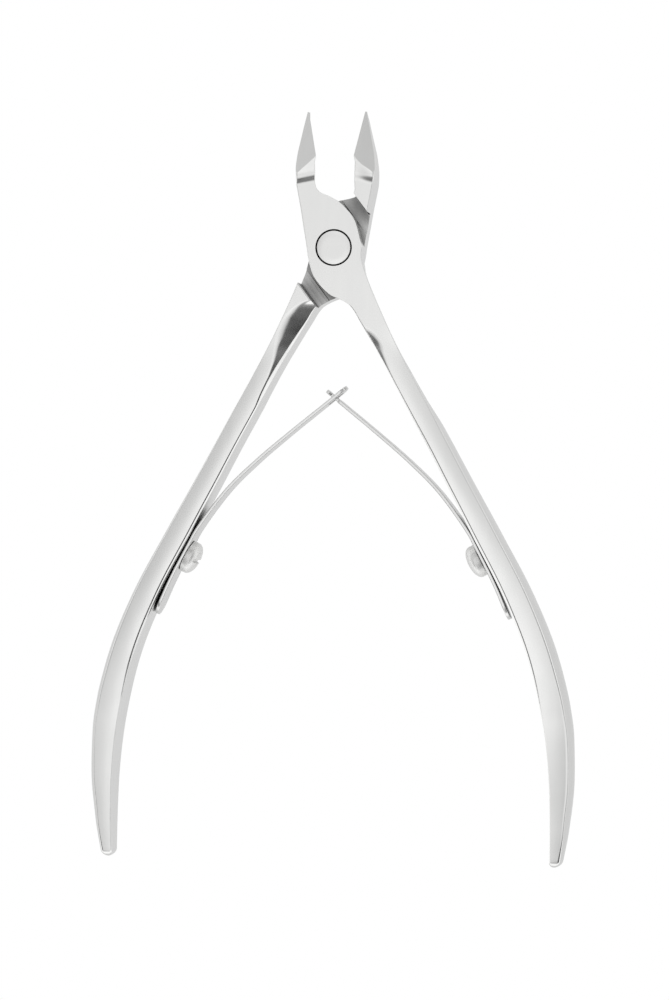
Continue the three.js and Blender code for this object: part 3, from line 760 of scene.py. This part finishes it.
def catmull_rom(points, per_span=24):
    """Dense points on a centripetal Catmull-Rom curve."""
    chain = [points[0] * 2 - points[1], *points, points[-1] * 2 - points[-2]]
    dense = []
    for p0, p1, p2, p3 in zip(chain, chain[1:], chain[2:], chain[3:]):
        t0 = 0
        t1 = t0 + (p1 - p0).length ** 0.5
        t2 = t1 + (p2 - p1).length ** 0.5
        t3 = t2 + (p3 - p2).length ** 0.5
        for i in range(per_span):
            t = lerp(t1, t2, i / per_span)
            a1 = p0 * ((t1 - t) / (t1 - t0)) + p1 * ((t - t0) / (t1 - t0))
            a2 = p1 * ((t2 - t) / (t2 - t1)) + p2 * ((t - t1) / (t2 - t1))
            a3 = p2 * ((t3 - t) / (t3 - t2)) + p3 * ((t - t2) / (t3 - t2))
            b1 = a1 * ((t2 - t) / (t2 - t0)) + a2 * ((t - t0) / (t2 - t0))
            b2 = a2 * ((t3 - t) / (t3 - t1)) + a3 * ((t - t1) / (t3 - t1))
            dense.append(b1 * ((t2 - t) / (t2 - t1)) + b2 * ((t - t1) / (t2 - t1)))
    return dense + [points[-1]]


class LeafLine:
    """The middle line of a leaf, addressed by the distance from its tail."""

    def __init__(self):
        self.points = catmull_rom(leaf_points())
        self.at = [0.0]
        for a, b in zip(self.points, self.points[1:]):
            self.at.append(self.at[-1] + (b - a).length)
        self.length = self.at[-1]

    def place(self, distance):
        """Point and direction at a distance from the tail."""
        i = int(np.clip(np.searchsorted(self.at, distance) - 1, 0, len(self.points) - 2))
        span = self.at[i + 1] - self.at[i]
        a, b = self.points[i], self.points[i + 1]
        return a + (b - a) * ((distance - self.at[i]) / span), (b - a).normalized()

    def reach(self, y):
        """Distance at which the line reaches a height y."""
        for i, point in enumerate(self.points):
            if point.y >= y:
                return self.at[i]
        return self.length


leaf_line = LeafLine()
CROSSING = leaf_line.reach(LEAF_ARM[-2][1])
CLAMP = leaf_line.reach(SCREW_Y - 0.2)


def leaf_half_width(distance):
    slim = smoothstep(distance, CLAMP, CROSSING)
    half = lerp(LEAF_ROOT_WIDTH, LEAF_TIP_WIDTH, slim) / 2
    for from_end in (distance, leaf_line.length - distance):
        if from_end < half:
            half *= math.sqrt(max(1 - (1 - from_end / half) ** 2, 0.01))
    return half


def leaf_ring(distance, half):
    """Section of a leaf with softened edges."""
    middle, along = leaf_line.place(distance)
    side = Vector((-along.y, along.x, 0))
    thick = LEAF_THICKNESS / 2
    soft = min(LEAF_EDGE, half * 0.6)
    ring = []
    for s, z, u, v in ((-thick, half, (0, 1), (1, 0)), (thick, half, (1, 0), (0, -1)),
                       (thick, -half, (0, -1), (-1, 0)), (-thick, -half, (-1, 0), (0, 1))):
        for a, b in corner_points(s, z, u, v, soft, 1, 2):
            ring.append(middle + side * float(a) + Vector((0, 0, float(b))))
        if z * s < 0:
            continue
        for k in (1, 2, 3, 4, 5):
            b = lerp(half - soft, soft - half, k / 6) * (1 if s > 0 else -1)
            ring.append(middle + side * s + Vector((0, 0, b)))
    return ring


def leaf_rings(end, steps=170):
    """Sections from the tail to a distance, closer together at the tail's round end."""
    rings = []
    for i in range(steps + 1):
        share = i / steps
        distance = end * (share if share > 0.1 else 0.1 * (1 - math.cos(share * 5 * math.pi)))
        rings.append(leaf_ring(distance, leaf_half_width(distance)))
    return rings


def leaf_hole(mirror):
    seat, out = screw_seat()
    return round_bar("leaf_hole", SCREW_SHANK_R + BORE_PLAY, -1, 3, seat, out, mirror=mirror)


def make_slotted_leaf():
    rings = leaf_rings(leaf_line.length - LEAF_ROUND_END)
    for i in range(1, 25):
        distance = leaf_line.length - LEAF_ROUND_END * math.cos(math.radians(90 * i / 24))
        rings.append(leaf_ring(distance, leaf_half_width(distance)))
    points, faces = loft(rings)
    leaf = outward(new_object("rear_leaf_spring_visual", points, faces, True))
    middle, along = leaf_line.place(CROSSING)
    points, faces = box((LINK_SLOT_LENGTH, 3, LINK_SLOT_WIDTH), middle, along,
                        Vector((0, 0, 1)).cross(along))
    cut(leaf, new_object("slot", points, faces, True), leaf_hole(True))
    return shade(leaf, 40)


def make_tongue_leaf():
    shoulder = CROSSING - TONGUE_SHOULDER
    neck_end = CROSSING + TONGUE_HEAD_START
    rings = leaf_rings(shoulder - TONGUE_FILLET)
    for i in range(1, 13):
        turn = math.radians(90 * i / 12)
        wide = leaf_half_width(shoulder)
        half = lerp(TONGUE_WIDTH / 2, wide, math.cos(turn))
        rings.append(leaf_ring(shoulder - TONGUE_FILLET * (1 - math.sin(turn)), half))
    for i in range(1, 5):
        rings.append(leaf_ring(lerp(shoulder, neck_end, i / 5), TONGUE_WIDTH / 2))
    for i in range(25):
        t = i / 24
        swell = math.sqrt(max(1 - (2 * t - 1) ** 2, 0)) * TONGUE_HEAD_WIDTH / 2
        neck = TONGUE_WIDTH / 2 if t < 0.5 else TONGUE_TIP
        rings.append(leaf_ring(neck_end + t, max(swell, neck)))
    points, faces = loft(rings)
    leaf = outward(new_object("front_leaf_spring_visual", points, faces))
    cut(leaf, leaf_hole(False))
    return shade(leaf, 40)


# ------------------------------------------------------------------ materials
def node_material(name):
    material = bpy.data.materials.new(name)
    material.use_nodes = True
    nodes = material.node_tree.nodes
    nodes.clear()
    output = nodes.new("ShaderNodeOutputMaterial")
    shader = nodes.new("ShaderNodeBsdfPrincipled")
    shader.inputs["Metallic"].default_value = 1
    material.node_tree.links.new(shader.outputs["BSDF"], output.inputs["Surface"])
    return material, nodes, material.node_tree.links, shader


def steel(name, light, dark, rough, grain_scale, grain_stretch, bump, reach=1.2,
          shadow_range=(0.08, 0.55), darkest_shade=0.04, turn=(0, 0, 0)):
    """Satin steel: brushed grain, faint cloudy smears, and worn shine. Its colour also gets painted
    shade, darkened by occlusion in crevices and next to other parts.
    """
    material, nodes, links, shader = node_material(name)
    place = nodes.new("ShaderNodeTexCoord")
    mapping = nodes.new("ShaderNodeMapping")
    mapping.inputs["Rotation"].default_value = turn
    mapping.inputs["Scale"].default_value = grain_stretch
    links.new(place.outputs["Object"], mapping.inputs["Vector"])
    grain = nodes.new("ShaderNodeTexNoise")
    grain.inputs["Scale"].default_value = grain_scale
    grain.inputs["Detail"].default_value = 4
    grain.inputs["Roughness"].default_value = 0.6
    links.new(mapping.outputs["Vector"], grain.inputs["Vector"])
    cloud = nodes.new("ShaderNodeTexNoise")
    cloud.inputs["Scale"].default_value = 140
    cloud.inputs["Detail"].default_value = 3
    links.new(place.outputs["Object"], cloud.inputs["Vector"])
    tint = nodes.new("ShaderNodeMix")
    tint.data_type = "RGBA"
    tint.inputs["A"].default_value = (*dark, 1)
    tint.inputs["B"].default_value = (*light, 1)
    links.new(grain.outputs["Fac"], tint.inputs["Factor"])
    # Painted shade: occlusion within the reach darkens the colour, down to the darkest share in
    # crevices.
    crevice_shade = nodes.new("ShaderNodeAmbientOcclusion")
    crevice_shade.samples = 12
    crevice_shade.inputs["Distance"].default_value = reach * MM
    links.new(tint.outputs["Result"], crevice_shade.inputs["Color"])
    depth = nodes.new("ShaderNodeMapRange")
    depth.inputs["From Min"].default_value = shadow_range[0]
    depth.inputs["From Max"].default_value = shadow_range[1]
    depth.inputs["To Min"].default_value = darkest_shade
    links.new(crevice_shade.outputs["AO"], depth.inputs["Value"])
    shadow = nodes.new("ShaderNodeMix")
    shadow.data_type = "RGBA"
    shadow.blend_type = "MULTIPLY"
    shadow.inputs["Factor"].default_value = 1
    links.new(tint.outputs["Result"], shadow.inputs["A"])
    links.new(depth.outputs["Result"], shadow.inputs["B"])
    links.new(shadow.outputs["Result"], shader.inputs["Base Color"])
    spread = nodes.new("ShaderNodeMapRange")
    spread.inputs["From Min"].default_value = 0.3
    spread.inputs["From Max"].default_value = 0.7
    spread.inputs["To Min"].default_value = rough * 0.85
    spread.inputs["To Max"].default_value = rough * 1.2
    links.new(cloud.outputs["Fac"], spread.inputs["Value"])
    links.new(spread.outputs["Result"], shader.inputs["Roughness"])
    relief = nodes.new("ShaderNodeBump")
    relief.inputs["Strength"].default_value = bump
    relief.inputs["Distance"].default_value = 0.00002
    links.new(grain.outputs["Fac"], relief.inputs["Height"])
    links.new(relief.outputs["Normal"], shader.inputs["Normal"])
    return material


def make_joint_shade():
    """Near-black painted shade at the bottom of the rivet's groove and inside the bores."""
    material, nodes, links, shader = node_material("joint_painted_shade")
    shader.inputs["Metallic"].default_value = 0
    shader.inputs["Specular IOR Level"].default_value = 0.2
    noise = nodes.new("ShaderNodeTexNoise")
    noise.inputs["Scale"].default_value = 900
    ramp = nodes.new("ShaderNodeValToRGB")
    # Near-black colours of the painted shade in the joint.
    ramp.color_ramp.elements[0].color = (0.006, 0.006, 0.006, 1)
    ramp.color_ramp.elements[1].color = (0.03, 0.029, 0.027, 1)
    links.new(noise.outputs["Fac"], ramp.inputs["Fac"])
    links.new(ramp.outputs["Color"], shader.inputs["Base Color"])
    shader.inputs["Roughness"].default_value = 0.6
    return material


def paint(obj, material, body=None):
    obj.data.materials.clear()
    obj.data.materials.append(material)
    if body:
        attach(obj, body)


def paint_bores(lever, material):
    """The walls of the rivet's holes and the floor of the head's seat get the near-black painted
    shade.
    """
    lever.data.materials.append(material)
    reach = (RIVET_HEAD_R + 0.1) * MM
    low = 0.02 * MM
    high = (THICKNESS - 0.02) * MM
    for face in lever.data.polygons:
        centre = face.center
        near = math.hypot(centre.x, centre.y) < reach
        if near and abs(face.normal.z) < 0.3 and low < centre.z < high:
            face.material_index = 1
        if near and face.normal.z > 0.9 and abs(centre.z / MM - (THICKNESS - RIVET_HEAD_H)) < 0.1:
            face.material_index = 1


def paint_lap(lever, material, slide_shadow, rear):
    """The joint's milled faces and walls get painted shade: a darker colour than the polished
    outside.
    The face the other lever slides on is darkest on its half towards the handle, a painted shadow."""
    index = len(lever.data.materials)
    lever.data.materials.append(material)
    lever.data.materials.append(slide_shadow)
    side = -1 if rear else 1
    across = Vector((-math.cos(WALL_ANGLE) * side, math.sin(WALL_ANGLE), 0))
    for face in lever.data.polygons:
        centre = face.center / MM
        height = THICKNESS - centre.z if rear else centre.z
        from_middle = across.dot(centre)
        inside_lap = -HANDLE_WALL - 0.02 < from_middle < JAW_WALL + 0.02
        floor_face = inside_lap and MID - 0.1 < height < MID + 0.45 and abs(face.normal.z) > 0.25
        on_wall = min(abs(from_middle + HANDLE_WALL), abs(from_middle - JAW_WALL)) < 0.02
        wall_face = on_wall and abs(across.dot(face.normal)) > 0.99
        if floor_face or wall_face:
            # The floor's half towards the handle gets the darkest painted shadow, cast by the other
            # lever's plate edge.
            near_handle = from_middle < 0 and from_middle > HANDLE_TROUGH - HANDLE_WALL
            face.material_index = index + 1 if near_handle and floor_face else index


# ------------------------------------------------------------------ light and floor
def make_world():
    """A soft box straight above, dark gaps beside it and pale walls further out."""
    world = bpy.data.worlds.new("studio")
    world.use_nodes = True
    bpy.context.scene.world = world
    nodes = world.node_tree.nodes
    links = world.node_tree.links
    nodes.clear()
    output = nodes.new("ShaderNodeOutputWorld")
    background = nodes.new("ShaderNodeBackground")
    links.new(background.outputs["Background"], output.inputs["Surface"])
    place = nodes.new("ShaderNodeTexCoord")
    split = nodes.new("ShaderNodeSeparateXYZ")
    links.new(place.outputs["Generated"], split.inputs["Vector"])

    def math_node(operation, a, b=None, clamp=False):
        node = nodes.new("ShaderNodeMath")
        node.operation = operation
        node.use_clamp = clamp
        for socket, value in zip(node.inputs, (a, b)):
            if value is None:
                continue
            if isinstance(value, (int, float)):
                socket.default_value = value
            else:
                links.new(value, socket)
        return node.outputs["Value"]

    def ramp(value, low, high, start=0.0, end=1.0):
        node = nodes.new("ShaderNodeMapRange")
        node.interpolation_type = "SMOOTHSTEP"
        node.inputs["From Min"].default_value = low
        node.inputs["From Max"].default_value = high
        node.inputs["To Min"].default_value = start
        node.inputs["To Max"].default_value = end
        links.new(value, node.inputs["Value"])
        return node.outputs["Result"]

    flat = nodes.new("ShaderNodeCombineXYZ")
    links.new(split.outputs["X"], flat.inputs["X"])
    links.new(split.outputs["Y"], flat.inputs["Y"])
    unit = nodes.new("ShaderNodeVectorMath")
    unit.operation = "NORMALIZE"
    links.new(flat.outputs["Vector"], unit.inputs[0])

    def lobe(degrees, sharpness):
        node = nodes.new("ShaderNodeVectorMath")
        node.operation = "DOT_PRODUCT"
        links.new(unit.outputs["Vector"], node.inputs[0])
        angle = math.radians(degrees)
        node.inputs[1].default_value = (math.cos(angle), math.sin(angle), 0)
        return math_node("POWER", math_node("MAXIMUM", node.outputs["Value"], 0.0), sharpness)

    def over(degrees_low, degrees_high):
        """Rises from 0 to 1 between two angles from straight up."""
        return ramp(split.outputs["Z"], math.cos(math.radians(degrees_low)),
                    math.cos(math.radians(degrees_high)))

    def times(a, b):
        return math_node("MULTIPLY", a, b)

    def plus(a, b):
        return math_node("ADD", a, b)

    def stops(value, table):
        """Level along one axis of the sky, from points (place, level)."""
        node = nodes.new("ShaderNodeValToRGB")
        ramp_data = node.color_ramp
        ramp_data.interpolation = "EASE"
        while len(ramp_data.elements) < len(table):
            ramp_data.elements.new(0.5)
        for element, (spot, level) in zip(ramp_data.elements, table):
            element.position = (spot + 1) / 2
            element.color = (level, level, level, 1)
        place_on = math_node("MULTIPLY_ADD", value, 0.5)
        place_on.node.inputs[2].default_value = 0.5
        links.new(place_on, node.inputs["Fac"])
        return node.outputs["Color"]

    across = stops(split.outputs["X"], SKY_ACROSS)
    along = stops(split.outputs["Y"], SKY_ALONG)
    gaps = plus(*(times(times(lobe(direction, sharpness), depth), over(*angles))
                  for direction, sharpness, depth, angles in SKY_GAPS))
    wall = over(*WALL_FROM_UP)
    open_sky = times(math_node("SUBTRACT", 1.0, gaps), times(across, along))
    bright = plus(times(open_sky, math_node("SUBTRACT", 1.0, wall)), times(wall, WALL_LEVEL))
    background.inputs["Color"].default_value = (1, 1, 1, 1)
    links.new(bright, background.inputs["Strength"])


def make_floor():
    """Plain pale floor that glows as the lamp below: evenly bright seen from the camera, and with a
    painted sheen towards grazing angles in reflections.
    """
    size = 3.0
    points = [(-size, -size, 0), (size, -size, 0), (size, size, 0), (-size, size, 0)]
    mesh = bpy.data.meshes.new("floor")
    mesh.from_pydata(points, [], [(0, 1, 2, 3)])
    floor = bpy.data.objects.new("floor", mesh)
    floor.location.z = -0.0002
    bpy.context.scene.collection.objects.link(floor)
    material = bpy.data.materials.new("floor")
    material.use_nodes = True
    nodes = material.node_tree.nodes
    nodes.clear()
    output = nodes.new("ShaderNodeOutputMaterial")
    glow = nodes.new("ShaderNodeEmission")
    glow.inputs["Color"].default_value = (1, 1, 1, 1)
    facing = nodes.new("ShaderNodeLayerWeight")
    facing.inputs["Blend"].default_value = 0.5
    # Painted sheen: in reflections the floor's glow rises from 0.74 to 1.22 as the view grazes it.
    sheen = nodes.new("ShaderNodeMapRange")
    sheen.interpolation_type = "SMOOTHSTEP"
    sheen.inputs["From Min"].default_value = 0.72
    sheen.inputs["From Max"].default_value = 0.92
    sheen.inputs["To Min"].default_value = 0.74
    sheen.inputs["To Max"].default_value = 1.22
    rays = nodes.new("ShaderNodeLightPath")
    seen = nodes.new("ShaderNodeMix")
    seen.inputs["B"].default_value = 1.0
    links = material.node_tree.links
    links.new(facing.outputs["Facing"], sheen.inputs["Value"])
    links.new(rays.outputs["Is Camera Ray"], seen.inputs["Factor"])
    links.new(sheen.outputs["Result"], seen.inputs["A"])
    links.new(seen.outputs["Result"], glow.inputs["Strength"])
    links.new(glow.outputs["Emission"], output.inputs["Surface"])
    mesh.materials.append(material)


# ------------------------------------------------------------------ the scene
make_camera()
make_world()
make_floor()

# Every steel gets painted shade in its crevices; the number after the bump, where given, is how far
# that shade reaches in millimetres.
lever_steel = steel("lever_steel", (0.83, 0.83, 0.82), (0.78, 0.78, 0.775), 0.2, 900,
                    (1, 0.12, 1), 0.04, 0.85)
rivet_steel = steel("rivet_steel", (0.82, 0.82, 0.81), (0.77, 0.77, 0.765), 0.24, 900,
                    (0.25, 1, 1), 0.3)
leaf_steel = steel("leaf_steel", (0.8, 0.8, 0.795), (0.72, 0.72, 0.715), 0.2, 2600,
                   (1, 1, 0.12), 0.03, 0.7)
screw_steel = steel("screw_steel", (0.88, 0.88, 0.87), (0.83, 0.83, 0.82), 0.46, 1800,
                    (1, 1, 1), 0.01, 0.35)
# Painted shade in the joint's recess: a darker colour, and occlusion darkening that reaches 2.6 mm
# from its walls.
lap_shade_steel = steel("lap_shade_steel", (0.66, 0.66, 0.655), (0.5, 0.5, 0.495), 0.3, 1100,
                  (1, 0.3, 1), 0.5, 2.6, (0.25, 0.88), 0.12)
# Painted shadow under the other lever's plate edge: a still darker colour, with occlusion
# darkening.
lap_shadow_steel = steel("lap_shadow_steel", (0.42, 0.42, 0.415), (0.28, 0.28, 0.275), 0.3, 1100,
                      (1, 0.3, 1), 0.4, 2.0, (0.25, 0.9), 0.1)
joint_shade_material = make_joint_shade()

front_lever = make_lever("front_lever_visual", False)
paint(front_lever, lever_steel, "front_lever")
paint_bores(front_lever, joint_shade_material)
paint_lap(front_lever, lap_shade_steel, lap_shadow_steel, False)
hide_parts("front_lever")

rear_lever = make_lever("rear_lever_visual", True)
paint(rear_lever, lever_steel, "rear_lever")
paint_bores(rear_lever, joint_shade_material)
paint_lap(rear_lever, lap_shade_steel, lap_shadow_steel, True)
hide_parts("rear_lever")

rivet = make_rivet()
paint(rivet, rivet_steel, "front_lever")
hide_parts("pivot_rivet")

for side, mirror in (("front", False), ("rear", True)):
    screw = make_screw(f"{side}_spring_screw_visual", mirror, not mirror)
    paint(screw, screw_steel, f"{side}_lever")
    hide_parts(f"{side}_spring_screw")

for side, leaf, sign in (("front", make_tongue_leaf(), 1), ("rear", make_slotted_leaf(), -1)):
    paint(leaf, leaf_steel)
    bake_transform(leaf)
    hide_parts(f"{side}_leaf_spring")

bpy.context.scene.view_settings.view_transform = "Standard"
